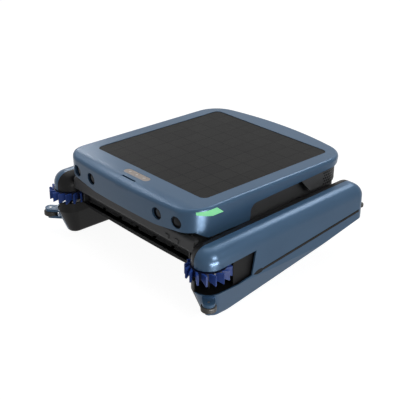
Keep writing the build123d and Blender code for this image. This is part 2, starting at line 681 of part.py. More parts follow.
def lid_form(inset):
    """Deck drawn in by the inset, narrower at the skirt and curved down to its front edge."""
    foot = lid_plan(inset + LID_DRAFT, FOOT_CORNER, REAR_CORNER + LID_DRAFT)
    head = lid_plan(inset, FRONT_CORNER, REAR_CORNER)
    body = loft([Pos(0, 0, SKIRT_Z) * foot, Pos(0, 0, LID_TOP_Z - inset) * head], ruled=True)
    body = body & crown_zone(inset)
    edge_z = LID_TOP_Z - inset - CROWN_DROP - LID_ROUND
    rim = body.edges().filter_by(lambda edge: edge.bounding_box().min.Z > edge_z)
    seam = (0, CROWN_START_Y, LID_TOP_Z - inset)
    rim = rim.filter_by(lambda edge: (edge.center() - Vector(seam)).length > LID_WALL)
    return fillet(rim, LID_ROUND - inset)


def panel_prism(width, length, corner, z):
    """Rounded block under the place of the panel."""
    return extrude(Pos(0, PANEL_Y, z[0]) * RectangleRounded(width, length, corner), z[1] - z[0])


def front_y(x, z):
    """Place of the front skirt at a width and a height."""
    bow = FRONT_BOW * (2 * x / LID_WIDTH) ** 2
    return LID_FRONT_Y + bow + LID_DRAFT * (LID_TOP_Z - z) / (LID_TOP_Z - SKIRT_Z)


lid_solid = lid_form(0)
lid_hollow = lid_form(LID_WALL)
lid_skin = lid_solid - lid_hollow
side_cut_end = SIDE_CUT_Z + SIDE_CUT_RISE * (FAR - SIDE_CUT_Y)
side_cut = side_prism(
    [(SIDE_CUT_Y, -FAR), (SIDE_CUT_Y, SIDE_CUT_Z), (FAR, side_cut_end), (FAR, -FAR)],
    (-FAR, FAR),
)
cut_edge = side_cut.edges().filter_by(Axis.X).sort_by_distance((0, SIDE_CUT_Y, SIDE_CUT_Z))[0]
side_cut = fillet(cut_edge, SIDE_CUT_ROUND)
lid = lid_skin - side_cut
foot_top_z = FRONT_SKIRT_Z + FOOT_RISE
foot_outline = [
    (0, FRONT_SKIRT_Z),
    (FOOT_RISE_X, FRONT_SKIRT_Z),
    (LID_WIDTH / 2, foot_top_z),
    (LID_WIDTH / 2, 0),
    (0, 0),
]
foot_face = make_face(Polyline(*foot_outline, close=True))
foot_limit = [
    (-FAR, foot_top_z),
    (FOOT_RISE_Y[0], foot_top_z),
    (FOOT_RISE_Y[1], SKIRT_Z),
    (FOOT_RISE_Y[1], 0),
    (-FAR, 0),
]
foot_cut = extrude(Plane.XZ * foot_face, FAR) & side_prism(foot_limit, (0, FAR))
lid -= both_sides(foot_cut)

# Panel seat, gasket and panel
panel_top_z = LID_TOP_Z - PANEL_SINK
panel_floor_z = panel_top_z - PANEL_THICKNESS
seat_z = panel_floor_z - GASKET_THICKNESS
inner_width = PANEL_WIDTH - 2 * PANEL_LEDGE
inner_length = PANEL_LENGTH - 2 * PANEL_LEDGE
seat_width = PANEL_WIDTH + 2 * SEAT_GAP
seat_length = PANEL_LENGTH + 2 * SEAT_GAP
frame_z = (seat_z - LID_WALL, LID_TOP_Z - LID_WALL)
lid += panel_prism(PANEL_WIDTH + 2 * FRAME_WALL, PANEL_LENGTH + 2 * FRAME_WALL, PANEL_CORNER, frame_z)
lid -= panel_prism(seat_width, seat_length, PANEL_CORNER, (seat_z, FAR))
lid -= panel_prism(inner_width, inner_length, PANEL_CORNER, (0, FAR))
gasket = panel_prism(PANEL_WIDTH, PANEL_LENGTH, PANEL_CORNER, (seat_z, panel_floor_z))
gasket -= panel_prism(inner_width, inner_length, PANEL_CORNER, (0, FAR))
panel = panel_prism(PANEL_WIDTH, PANEL_LENGTH, PANEL_CORNER, (panel_floor_z, panel_top_z))

# Control pad with three keys over a key board
pad_top_z = LID_TOP_Z - PAD_SINK
pad_floor_z = pad_top_z - PAD_THICKNESS
pad_face = Pos(0, PAD_Y, pad_floor_z) * SlotOverall(PAD_LENGTH, PAD_WIDTH)
pad = extrude(pad_face, PAD_THICKNESS)
seat_face = SlotOverall(PAD_LENGTH + 2 * SEAT_GAP, PAD_WIDTH + 2 * SEAT_GAP)
pad_seat = extrude(Pos(0, PAD_Y, pad_floor_z) * seat_face, FAR)
lid -= pad_seat
key_x = (-KEY_PITCH, 0.0, KEY_PITCH)
key_floor_z = LID_TOP_Z - LID_WALL + KEY_TRAVEL + SLIDE_GAP
keys = [rod_z(KEY_RADIUS, x, PAD_Y, (key_floor_z, pad_top_z)) for x in key_x]
for x in key_x:
    key_hole = rod_z(KEY_RADIUS + SLIDE_GAP, x, PAD_Y, (0, FAR))
    pad -= key_hole
    lid -= key_hole
lid_under_z = LID_TOP_Z - LID_WALL
key_board = span(
    (-PAD_LENGTH / 2, PAD_LENGTH / 2),
    (PAD_Y - PAD_WIDTH / 2, PAD_Y + PAD_WIDTH / 2),
    (lid_under_z - BOARD_THICKNESS, lid_under_z),
)

# Latch tab in the front edge, with the slot it is pushed into
latch_half = LATCH_WIDTH / 2
latch_floor_z = LID_TOP_Z - LATCH_HEIGHT
latch_rear_y = LID_FRONT_Y + LATCH_LENGTH
latch_zone = span((-latch_half, latch_half), (-FAR, latch_rear_y), (latch_floor_z, FAR))
latch = (lid_solid - lid_form(LATCH_FLOOR)) & latch_zone
cut_half = latch_half + SLIDE_GAP
slot_rear_y = latch_rear_y + LATCH_SLOT
lid -= span((-cut_half, cut_half), (-FAR, slot_rear_y), (latch_floor_z - SLIDE_GAP, FAR))
house_half = cut_half + LID_WALL
house_floor_z = latch_floor_z - SLIDE_GAP - LID_WALL
house = span((-house_half, house_half), (-FAR, slot_rear_y + LID_WALL), (house_floor_z, lid_under_z))
house = house & lid_hollow
house -= span((-cut_half, cut_half), (-FAR, slot_rear_y), (latch_floor_z - SLIDE_GAP, FAR))

# Range sensors in the front skirt
sensors = Part()
sensor_relief = Part()
sensor_row = [(SENSOR_INNER_X, 0.0), (SENSOR_OUTER_X, SENSOR_TOE)]
for x, toe in sensor_row:
    face_y = front_y(x, SENSOR_Z) + SENSOR_SINK
    place = Pos(x, face_y, SENSOR_Z) * Rot(0, 0, toe)
    hole = place * rod_y(SENSOR_HOLE_RADIUS + SEAT_GAP, 0, (-SENSOR_LENGTH, SENSOR_LENGTH), 0)
    body = rod_y(SENSOR_HOLE_RADIUS, 0, (0, SENSOR_LENGTH), 0)
    body -= rod_y(SENSOR_DISC_RADIUS, 0, (-SENSOR_LENGTH, SENSOR_DISH), 0)
    collar_y = (-SENSOR_LENGTH, SENSOR_COLLAR_LENGTH)
    collar = place * rod_y(SENSOR_HOLE_RADIUS + SEAT_GAP + SENSOR_COLLAR, 0, collar_y, 0)
    lid += both_sides(collar & lid_solid)
    lid -= both_sides(hole)
    sensors += both_sides(place * body)
    relief_y = (-SENSOR_LENGTH, SENSOR_LENGTH + SWEEP_GAP)
    relief = place * rod_y(SENSOR_HOLE_RADIUS + SENSOR_COLLAR + SWEEP_GAP, 0, relief_y, 0)
    sensor_relief += both_sides(relief)

# Light bars that wrap the front corners
light_x = (LID_WIDTH / 2 - LIGHT_DEPTH, FAR)
light_top_z = LID_TOP_Z - LIGHT_DROP
light_foot_z = light_top_z - LIGHT_HEIGHT
light_outline = [
    (LIGHT_START_Y, light_top_z),
    (LIGHT_TOP_Y, light_top_z),
    (LIGHT_TIP_Y, light_foot_z),
    (LIGHT_FOOT_Y, light_foot_z),
    (LIGHT_START_Y, light_top_z - LIGHT_START_HEIGHT),
]
light_zone = side_prism(light_outline, light_x)
light = lid_skin & light_zone
lid -= both_sides(light_zone)

# Liner under the lid, its posts and screws, and the control board on it
liner_face = lid_plan(LINER_INSET, FRONT_CORNER, REAR_CORNER)
liner = extrude(Pos(0, 0, LINER_Z) * liner_face, LINER_THICKNESS) - sensor_relief
liner_top_z = LINER_Z + LINER_THICKNESS
panel_front_y = PANEL_Y - PANEL_LENGTH / 2 - FRAME_WALL
post_row = [(x, panel_front_y - POST_RADIUS) for x in SCREW_ROW_X if x != 0.0]
post_row += [(x, PANEL_Y + PANEL_LENGTH / 2 + FRAME_WALL) for x in SCREW_ROW_X]
screws = Part()
for x, y in post_row:
    post = rod_z(POST_RADIUS, x, y, (liner_top_z, lid_under_z))
    screw = rod_z(SCREW_RADIUS, x, y, (LINER_Z, (liner_top_z + lid_under_z) / 2))
    head = rod_z(SCREW_HEAD_RADIUS, x, y, (LINER_Z, LINER_Z + SCREW_HEAD))
    lid += post
    lid -= screw
    liner -= screw + head
    screws += screw + head
board_z = liner_top_z + BOARD_POST
board_x = (-BOARD_WIDTH / 2, BOARD_WIDTH / 2)
board_y = (PANEL_Y - BOARD_LENGTH / 2, PANEL_Y + BOARD_LENGTH / 2)
board = span(board_x, board_y, (board_z, board_z + BOARD_THICKNESS))
chip_step = BOARD_WIDTH / 4
for place in (-1, 0, 1):
    x = place * chip_step
    chip_x = (x - CHIP_SIZE / 2, x + CHIP_SIZE / 2)
    chip_y = (PANEL_Y - CHIP_SIZE / 2, PANEL_Y + CHIP_SIZE / 2)
    board += span(chip_x, chip_y, (board_z, board_z + BOARD_THICKNESS + CHIP_HEIGHT))
for x in board_x:
    for y in board_y:
        corner_x = x - POST_RADIUS if x > 0 else x + POST_RADIUS
        corner_y = y - POST_RADIUS if y > PANEL_Y else y + POST_RADIUS
        liner += rod_z(POST_RADIUS, corner_x, corner_y, (liner_top_z, board_z))

# Hull tray: floor, stepped side walls, front bulkhead with the mouth, rails and lugs
hull_top_z = LINER_Z - LID_REST_GAP
step_x = HULL_HALF - HULL_STEP
tray_y = (HULL_FRONT_Y, HULL_REAR_Y)
floor_top_z = HULL_FLOOR_Z + HULL_WALL
tray = span((-HULL_HALF, HULL_HALF), tray_y, (HULL_FLOOR_Z, floor_top_z))
side_wall = span((HULL_HALF - HULL_WALL, HULL_HALF), tray_y, (HULL_FLOOR_Z, HULL_STEP_Z))
side_wall += span((step_x - HULL_WALL, HULL_HALF), tray_y, (HULL_STEP_Z - HULL_WALL, HULL_STEP_Z))
side_wall += span((step_x - HULL_WALL, step_x), tray_y, (HULL_STEP_Z - HULL_WALL, hull_top_z))
side_wall -= bolt_holes
tray += both_sides(side_wall)
bulkhead_y = (HULL_FRONT_Y, HULL_FRONT_Y + HULL_WALL)
tray += span((-HULL_HALF, HULL_HALF), bulkhead_y, (HULL_FLOOR_Z, HULL_STEP_Z))
tray += span((-step_x, step_x), bulkhead_y, (HULL_STEP_Z, hull_top_z))
tray -= span((-MOUTH_HALF, MOUTH_HALF), bulkhead_y, (MOUTH_FLOOR_Z, MOUTH_TOP_Z))
rail_top_z = BASKET_FLOOR_Z - SLIDE_GAP
rail = span((RAIL_HALF, RAIL_HALF + RAIL_WIDTH), tray_y, (HULL_FLOOR_Z, rail_top_z))
tray += both_sides(rail)
lug_x = (FLAP_HALF + SLIDE_GAP, FLAP_HALF + SLIDE_GAP + LUG_WIDTH)
lug = rod_x(LUG_RADIUS, lug_x, FLAP_Y, FLAP_Z)
lug += span(lug_x, (HULL_FRONT_Y, FLAP_Y), (FLAP_Z - LUG_RADIUS, FLAP_Z + LUG_RADIUS))
lug -= rod_x(FLAP_PIN_RADIUS + RUN_GAP, lug_x, FLAP_Y, FLAP_Z)
tray += both_sides(lug)

# Hinge bar and arms on the tray, knuckles in the lid and the pins
bar_x = (HULL_WALL - step_x, step_x - HULL_WALL)
tray += span(bar_x, HINGE_ARM_Y, (HINGE_BAR_Z, hull_top_z))
arm_x = (HINGE_X, HINGE_X + HINGE_LEAF)
arm = span(arm_x, HINGE_ARM_Y, (HINGE_BAR_Z, HINGE_Z + HINGE_BARREL))
arm += span(arm_x, (HINGE_ARM_Y[0], HINGE_Y), (HINGE_Z - HINGE_BARREL, HINGE_Z + HINGE_BARREL))
arm += rod_x(HINGE_BARREL, arm_x, HINGE_Y, HINGE_Z)
knuckle_x = (arm_x[0] - SLIDE_GAP - HINGE_LEAF, arm_x[0] - SLIDE_GAP)
knuckle = rod_x(HINGE_BARREL, knuckle_x, HINGE_Y, HINGE_Z)
knuckle += span(knuckle_x, (HINGE_Y - HINGE_BARREL, HINGE_Y + HINGE_BARREL), (HINGE_Z, lid_under_z))
pin = rod_x(HINGE_PIN_RADIUS, (knuckle_x[0], arm_x[1]), HINGE_Y, HINGE_Z)
knuckle -= rod_x(HINGE_PIN_RADIUS + RUN_GAP, knuckle_x, HINGE_Y, HINGE_Z)
tray += both_sides(arm - pin)
lid += both_sides(knuckle)
notch_x = (arm_x[0] - SWEEP_GAP, arm_x[1] + SWEEP_GAP)
notch = span(notch_x, (HINGE_ARM_Y[0] - SWEEP_GAP, FAR), (0, liner_top_z))
liner -= both_sides(notch)

# Chin scoop and intake frame, with an arched underside seen from the front
def front_zone(lift):
    """What lies above the arch of the chin, raised by the lift."""
    side_z = CHIN_FLOOR_Z + CHIN_ARC_RISE + lift
    arch = ThreePointArc((-CHEEK_X, side_z), (0, CHIN_FLOOR_Z + lift), (CHEEK_X, side_z))
    rest = Polyline((CHEEK_X, side_z), (CHEEK_X, FAR), (-CHEEK_X, FAR), (-CHEEK_X, side_z))
    face = make_face(arch + rest)
    face = fillet(face.vertices().sort_by(Axis.Y)[:2], CHIN_CORNER)
    return extrude(Plane.XZ * face, FAR)


chin_outer = [
    (CHIN_LIP_Y, CHIN_LIP_Z),
    (CHIN_FOOT_Y, CHIN_FLOOR_Z),
    (HULL_FRONT_Y, HULL_FLOOR_Z),
    (HULL_FRONT_Y, CHIN_LIP_Z),
]
chin_inner = [
    (CHIN_LIP_Y + CHIN_WALL, CHIN_LIP_Z),
    (CHIN_FOOT_Y + CHIN_WALL, CHIN_FLOOR_Z + CHIN_WALL),
    (HULL_FRONT_Y, HULL_FLOOR_Z + CHIN_WALL),
]
chin_void = side_prism(chin_inner + [(HULL_FRONT_Y, CHIN_LIP_Z)], (-CHEEK_X, CHEEK_X))
chin_void = chin_void & front_zone(CHIN_WALL)
chin = (side_prism(chin_outer, (-CHEEK_X, CHEEK_X)) & front_zone(0)) - chin_void
beam_rear_y = BEAM_FRONT_Y + BEAM_DEPTH
cheek_outline = chin_inner + [(HULL_FRONT_Y, BEAM_TOP_Z), (CHIN_LIP_Y + CHIN_WALL, BEAM_TOP_Z)]
cheek = side_prism(cheek_outline, (CHEEK_X - CHEEK_WALL, CHEEK_X)) & front_zone(CHIN_WALL)
beam_x = (-HULL_HALF, HULL_HALF)
beam = span(beam_x, (BEAM_FRONT_Y, beam_rear_y), (BEAM_FLOOR_Z, BEAM_TOP_Z))
beam = fillet(beam.edges().filter_by(Axis.X).group_by(Axis.Y)[0], BEAM_ROUND)
beam -= both_sides(outer)
stub_x = (CHEEK_X - CHEEK_WALL - STUB_LENGTH, CHEEK_X - CHEEK_WALL)
frame = beam + both_sides(cheek) + rod_x(STUB_RADIUS, stub_x, PADDLE_Y, PADDLE_Z)
clips = Part()
for place in (0, 1):
    x = CLIP_X + place * CLIP_PITCH
    clip_x = (x - CLIP_WIDTH / 2, x + CLIP_WIDTH / 2)
    clip_z = (BEAM_FLOOR_Z + BEAM_ROUND, BEAM_FLOOR_Z + BEAM_ROUND + CLIP_HEIGHT)
    clips += span(clip_x, (BEAM_FRONT_Y - CLIP_DEPTH, BEAM_FRONT_Y), clip_z)

# Intake roller on a motor inside its tube
cheek_in = CHEEK_X - CHEEK_WALL
paddle_x = (-cheek_in + PADDLE_END_GAP, cheek_in - PADDLE_END_GAP)
tube_bore = TUBE_RADIUS - TUBE_WALL
motor_radius = tube_bore - MOTOR_TUBE_GAP
paddle = rod_x(TUBE_RADIUS, paddle_x, 0, 0)
fin_zone = span(paddle_x, (-PADDLE_FIN / 2, PADDLE_FIN / 2), (0, PADDLE_RADIUS))
paddle += [Rot(turn * 360 / PADDLE_FINS, 0, 0) * fin_zone for turn in range(PADDLE_FINS)]
segment = (paddle_x[1] - paddle_x[0]) / PADDLE_SEGMENTS
for place in range(1, PADDLE_SEGMENTS):
    x = paddle_x[0] + place * segment
    gap_x = (x - PADDLE_NOTCH / 2, x + PADDLE_NOTCH / 2)
    paddle -= rod_x(FAR, gap_x, 0, 0) - rod_x(TUBE_RADIUS, gap_x, 0, 0)
motor_x = (-cheek_in, -cheek_in + MOTOR_TUBE_LENGTH)
collar_x = (paddle_x[0], paddle_x[0] + DRIVE_LENGTH)
drive_x = (motor_x[1] + PADDLE_END_GAP, motor_x[1] + PADDLE_END_GAP + DRIVE_LENGTH)
end_x = (paddle_x[1] - DRIVE_LENGTH, paddle_x[1])
paddle -= rod_x(tube_bore, (collar_x[1], FAR), 0, 0)
paddle -= rod_x(motor_radius + RUN_GAP, (-FAR, FAR), 0, 0)
drive_shaft_x = (motor_x[1] - DRIVE_LENGTH, drive_x[1])
plugs = rod_x(tube_bore, drive_x, 0, 0) + rod_x(BRUSH_SHAFT_RADIUS, drive_shaft_x, 0, 0)
plugs += rod_x(tube_bore, end_x, 0, 0) - rod_x(STUB_RADIUS + RUN_GAP, end_x, 0, 0)
paddle_motor = rod_x(motor_radius, motor_x, 0, 0)
paddle_motor -= rod_x(shaft_hole, (drive_shaft_x[0] - RUN_GAP, FAR), 0, 0)
paddle_place = Pos(0, PADDLE_Y, PADDLE_Z)

# One-way flap behind the mouth
flap_x = (-FLAP_HALF, FLAP_HALF)
flap_y = (FLAP_Y - FLAP_THICKNESS / 2, FLAP_Y + FLAP_THICKNESS / 2)
flap = rod_x(FLAP_BARREL, flap_x, FLAP_Y, FLAP_Z) + span(flap_x, flap_y, (FLAP_FOOT_Z, FLAP_Z))
flap_pin_x = (-FLAP_HALF - FLAP_PIN_LENGTH, FLAP_HALF + FLAP_PIN_LENGTH)
flap += rod_x(FLAP_PIN_RADIUS, flap_pin_x, FLAP_Y, FLAP_Z)

# Basket with slots, its bowed rear end, mesh screen and grip cup
end_height = END_TOP_Z - END_FLOOR_Z
end_front_y = LID_REAR_Y - END_INSET - END_WALL
end_face = lid_plan(END_INSET, FRONT_CORNER, REAR_CORNER)
end_solid = extrude(Pos(0, 0, END_FLOOR_Z) * end_face, end_height)
void_face = lid_plan(END_INSET + END_WALL, FRONT_CORNER, REAR_CORNER)
end_void = extrude(Pos(0, 0, BASKET_FLOOR_Z) * void_face, END_TOP_Z - BASKET_FLOOR_Z)
end_skin = end_solid - end_void
basket_x = (-BASKET_HALF, BASKET_HALF)
basket_y = (BASKET_FRONT_Y, end_front_y)
basket = span(basket_x, basket_y, (BASKET_FLOOR_Z, BASKET_TOP_Z)) & end_void
inside_x = (-BASKET_HALF + BASKET_WALL, BASKET_HALF - BASKET_WALL)
basket -= span(inside_x, basket_y, (BASKET_FLOOR_Z + BASKET_WALL, BASKET_TOP_Z))
slot_pitch = (HULL_REAR_Y - BASKET_FRONT_Y) / BASKET_SLOTS
slot_floor_z = BASKET_FLOOR_Z + BASKET_RIB
for place in range(BASKET_SLOTS):
    y = BASKET_FRONT_Y + (place + 0.5) * slot_pitch
    slot_y = (y - BASKET_SLOT / 2, y + BASKET_SLOT / 2)
    basket -= span((-FAR, FAR), slot_y, (slot_floor_z, BASKET_TOP_Z - BASKET_RIB))
    basket -= span((-RAIL_HALF + BASKET_RIB, -BASKET_RIB), slot_y, (0, slot_floor_z))
    basket -= span((BASKET_RIB, RAIL_HALF - BASKET_RIB), slot_y, (0, slot_floor_z))
ring_zone = [
    (END_EDGE_Y, END_TOP_Z),
    (FAR, END_TOP_Z),
    (FAR, END_SIDE_Z),
    (END_EDGE_Y + END_EDGE_LEAN, END_SIDE_Z),
]
end_ring = end_skin & side_prism(ring_zone, (-FAR, FAR))
end_ring -= span((-FAR, FAR), (END_CUT_Y, FAR), (END_REAR_TOP_Z, FAR))
end_wall = end_skin & span((-END_HALF, END_HALF), (0, FAR), (END_FLOOR_Z, END_SIDE_Z))
basket_end = end_ring + end_wall
screen_x = (-SCREEN_WIDTH / 2, SCREEN_WIDTH / 2)
screen_zone = span(screen_x, (0, FAR), (SCREEN_FLOOR_Z, SCREEN_TOP_Z))
basket_end -= screen_zone
grip_half = GRIP_WIDTH / 2
grip_zone = span((-grip_half, grip_half), (0, FAR), (GRIP_FLOOR_Z, GRIP_TOP_Z))
basket_end -= grip_zone
cup_x = (-grip_half - GRIP_WALL, grip_half + GRIP_WALL)
cup_z = (GRIP_FLOOR_Z - GRIP_WALL, GRIP_TOP_Z + GRIP_WALL)
cup_front_y = end_front_y - GRIP_DEPTH
cup = span(cup_x, (cup_front_y, FAR), cup_z) & end_void
cup -= span((-grip_half, grip_half), (cup_front_y + GRIP_WALL, FAR), (GRIP_FLOOR_Z, GRIP_TOP_Z))
screen_height = SCREEN_TOP_Z - SCREEN_FLOOR_Z
mesh_width = SCREEN_WIDTH / SCREEN_COLUMNS
mesh_height = screen_height / SCREEN_ROWS
mesh_face = Rectangle(SCREEN_WIDTH, screen_height)
mesh_face -= GridLocations(mesh_width, mesh_height, SCREEN_COLUMNS, SCREEN_ROWS) * Rectangle(
    mesh_width - SCREEN_BAR, mesh_height - SCREEN_BAR
)
screen_mid_z = (SCREEN_FLOOR_Z + SCREEN_TOP_Z) / 2
screen_place = Plane(origin=(0, LID_REAR_Y, screen_mid_z), x_dir=(1, 0, 0), z_dir=(0, -1, 0))
screen_face = lid_plan(END_INSET + END_WALL - SCREEN_THICKNESS, FRONT_CORNER, REAR_CORNER)
screen_skin = extrude(Pos(0, 0, END_FLOOR_Z) * screen_face, end_height) - end_void
screen = extrude(screen_place * mesh_face, REAR_CORNER) & screen_skin

save("lid_shell", lid)
save("solar_panel", panel)
save("panel_gasket", gasket)
save("control_pad", pad)
save("key_left", keys[0])
save("key_middle", keys[1])
save("key_right", keys[2])
save("key_board", key_board)
save("latch_tab", latch)
save("latch_housing", house)
save("range_sensors", sensors)
save("corner_lights", both_sides(light))
save("lid_liner", liner)
save("liner_screws", screws)
save("control_board", board)
save("hinge_pins", both_sides(pin))
save("hull_tray", tray)
save("chin_scoop", chin)
save("intake_frame", frame)
save("beam_clips", clips)
save("paddle_roller", paddle_place * paddle)
save("paddle_plugs", paddle_place * plugs)
save("paddle_motor", paddle_place * paddle_motor)
save("intake_flap", flap)
save("debris_basket", basket)
save("basket_end", basket_end)
save("rear_screen", screen)
save("grip_cup", cup)
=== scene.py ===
import json
import math

import bpy
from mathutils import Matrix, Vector


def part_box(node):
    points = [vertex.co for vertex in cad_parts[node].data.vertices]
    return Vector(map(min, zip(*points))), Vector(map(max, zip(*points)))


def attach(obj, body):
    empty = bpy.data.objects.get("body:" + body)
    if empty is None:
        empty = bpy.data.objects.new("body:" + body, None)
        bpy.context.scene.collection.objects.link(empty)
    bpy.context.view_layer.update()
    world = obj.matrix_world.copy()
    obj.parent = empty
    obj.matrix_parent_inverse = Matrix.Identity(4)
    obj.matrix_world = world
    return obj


# Camera and light, in metres
CAMERA_PLACE = (1.2241, -1.1016, 0.8818)
CAMERA_TARGET = (0.1646, -0.1610, 0.2030)
CAMERA_LENS = 76.5
CAMERA_SENSOR = 36.0
FLOOR_SIZE = 14.0
FLOOR_DROP = 0.0005
FLOOR_COLOUR = (0.30, 0.30, 0.30)
FLOOR_GLOW = 0.94
FLOOR_ROUGHNESS = 0.9
FLOOR_SPECULAR = 0.1
WORLD_FILL = 0.12
WORLD_SHOWN = 1.0
CENTRE = (0.0, 0.0, 0.12)
CORNER = (0.19, -0.20, 0.17)
NOSE = (0.25, -0.22, 0.13)

# Colours as the lights should show them, in linear light
BLUE = (0.084, 0.176, 0.306)
BLUE_SHADE = (0.076, 0.162, 0.286)
CELL_DARK = (0.027, 0.027, 0.027)
CELL_LIGHT = (0.032, 0.032, 0.0315)
CELL_LINE = (0.014, 0.014, 0.014)
GREY = (0.110, 0.112, 0.115)
GREY_SHADE = (0.095, 0.097, 0.100)
SHELL = (0.014, 0.014, 0.0145)
SHELL_SHADE = (0.010, 0.010, 0.0105)
BLACK = (0.012, 0.0125, 0.013)
BLACK_SHADE = (0.009, 0.009, 0.010)
PAD = (0.46, 0.39, 0.34)
PAD_SHADE = (0.41, 0.345, 0.30)
ICON = (0.80, 0.79, 0.77)
GREEN = (0.28, 0.92, 0.42)
GREEN_PALE = (0.42, 0.95, 0.54)
BRUSH = (0.045, 0.115, 0.480)
BRUSH_SHADE = (0.034, 0.090, 0.400)
# Brush blue darkened into painted shade for the brushes' cores
SHADED_HUB = (0.010, 0.016, 0.060)
SHADED_HUB_LOW = (0.008, 0.012, 0.045)
ROLLER = (0.036, 0.033, 0.029)
ROLLER_SHADE = (0.026, 0.024, 0.021)
STEEL = (0.52, 0.52, 0.51)
STEEL_SHADE = (0.44, 0.44, 0.43)
BOARD = (0.012, 0.090, 0.035)
BOARD_SHADE = (0.009, 0.070, 0.028)
MOTOR = (0.080, 0.080, 0.085)
MOTOR_SHADE = (0.065, 0.065, 0.070)
SLEEVE = (0.030, 0.055, 0.130)
SLEEVE_SHADE = (0.024, 0.045, 0.110)
LENS = (0.006, 0.007, 0.010)
INLAY = (0.060, 0.056, 0.050)
WHITE = (1, 1, 1, 1)

# Unevenness of the moulded surfaces
COAT_ROUGHNESS = 0.2
SHADE_STOPS = (0.3, 0.7)
CLOUD_SCALE = 14.0
CLOUD_DETAIL = 3.0
GLOSSIER = 0.04
DULLER = 0.05
GRAIN_SCALE = 1800.0
GRAIN_DETAIL = 2.0
GRAIN_HEIGHT = 0.0002

# Turning marks of the plain metal
TURNING_SCALE = 420.0
TURNING_DETAIL = 4.0
TURNING_SPREAD = 0.06

# Light guide
GUIDE_ROUGHNESS = 0.6
GUIDE_SPECULAR = 0.1
GUIDE_SCALE = 90.0
GUIDE_DETAIL = 2.0
GUIDE_GLOW = 0.45

# Solar cells
CELL_COLUMNS = 9
CELL_ROWS = 8
CELL_GAP = 0.0009
CELL_SOFTNESS = 0.2
CELL_INDEX = 1.12
CELL_ROUGHNESS = 0.42
DIMPLE_SCALE = 520.0
DIMPLE_ROUGHNESS = (0.36, 0.52)
DIMPLE_STRENGTH = 0.35
DIMPLE_HEIGHT = 0.0004

# Start of the rays that find a surface, away from the middle
REACH = 0.4

# Lenses of the range sensors on one side: place across and turn
SENSOR_ROW = ((0.106, 0.0), (0.1576, 14.0))
SENSOR_Z = 0.172
LENS_RADIUS = 0.0100
LENS_BULGE = 0.0024
LENS_RINGS = 8
LENS_STEPS = 32

# Dark core of the brushes: painted shade, a darker copy of the brush blue near each axis
PAINTED_SHADE_RADIUS = 0.0352

# Marks on the keys
MARK_Z = (0.2047, 0.20495)
MARK_RADIUS = 0.0026
MARK_LINE = 0.0009
MARK_STEPS = 28
OPEN_RING = (math.radians(125), math.radians(415))
FULL_RING = (0.0, 2 * math.pi)
WEDGE_BACK = 0.7 * MARK_RADIUS

# Fine holes at the rear corners
MESH_Y = (0.150, 0.226)
MESH_Z = (0.153, 0.178)
MESH_PITCH = 0.006
MESH_HOLE = 0.0034
MESH_RAISE = 0.0003

# Line in the seam strip
STRIP_X = 0.258
STRIP_ENDS = ((-0.0816, 0.0669), (0.1975, 0.0977))
STRIP_LINE = 0.0026
STRIP_RAISE = 0.0003

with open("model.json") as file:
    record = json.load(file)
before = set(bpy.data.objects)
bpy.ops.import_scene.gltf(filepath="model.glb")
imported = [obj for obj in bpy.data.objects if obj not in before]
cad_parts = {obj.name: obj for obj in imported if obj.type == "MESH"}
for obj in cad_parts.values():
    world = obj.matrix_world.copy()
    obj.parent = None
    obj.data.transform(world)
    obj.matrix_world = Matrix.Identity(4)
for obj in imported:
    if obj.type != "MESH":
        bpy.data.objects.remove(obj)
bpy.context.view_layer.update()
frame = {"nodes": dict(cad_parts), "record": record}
nodes = frame["nodes"]


# Materials
def shader_of(name, roughness, metallic=0.0, specular=0.5, coat=0.0):
    """New material with its uniform values on the shader's own sockets."""
    material = bpy.data.materials.new(name)
    material.use_nodes = True
    shader = material.node_tree.nodes["Principled BSDF"]
    shader.inputs["Roughness"].default_value = roughness
    shader.inputs["Metallic"].default_value = metallic
    shader.inputs["Specular IOR Level"].default_value = specular
    shader.inputs["Coat Weight"].default_value = coat
    shader.inputs["Coat Roughness"].default_value = COAT_ROUGHNESS
    return material, shader


def noise_of(material, scale, detail):
    """Noise fixed to the object."""
    tree = material.node_tree
    place = tree.nodes.new("ShaderNodeTexCoord")
    noise = tree.nodes.new("ShaderNodeTexNoise")
    noise.inputs["Scale"].default_value = scale
    noise.inputs["Detail"].default_value = detail
    tree.links.new(place.outputs["Object"], noise.inputs["Vector"])
    return noise


def blend_colours(material, shader, driver, low, high):
    """Two shades of one colour, mixed by a texture."""
    tree = material.node_tree
    ramp = tree.nodes.new("ShaderNodeValToRGB")
    ramp.color_ramp.elements[0].position = SHADE_STOPS[0]
    ramp.color_ramp.elements[1].position = SHADE_STOPS[1]
    ramp.color_ramp.elements[0].color = (*low, 1)
    ramp.color_ramp.elements[1].color = (*high, 1)
    tree.links.new(driver, ramp.inputs["Fac"])
    tree.links.new(ramp.outputs["Color"], shader.inputs["Base Color"])


def vary_roughness(material, shader, driver, low, high):
    """Roughness that wanders between two values."""
    tree = material.node_tree
    spread = tree.nodes.new("ShaderNodeMapRange")
    spread.inputs["To Min"].default_value = low
    spread.inputs["To Max"].default_value = high
    tree.links.new(driver, spread.inputs["Value"])
    tree.links.new(spread.outputs["Result"], shader.inputs["Roughness"])


def raise_grain(material, shader, driver, strength, distance):
    """Fine surface relief."""
    tree = material.node_tree
    bump = tree.nodes.new("ShaderNodeBump")
    bump.inputs["Strength"].default_value = strength
    bump.inputs["Distance"].default_value = distance
    tree.links.new(driver, bump.inputs["Height"])
    tree.links.new(bump.outputs["Normal"], shader.inputs["Normal"])


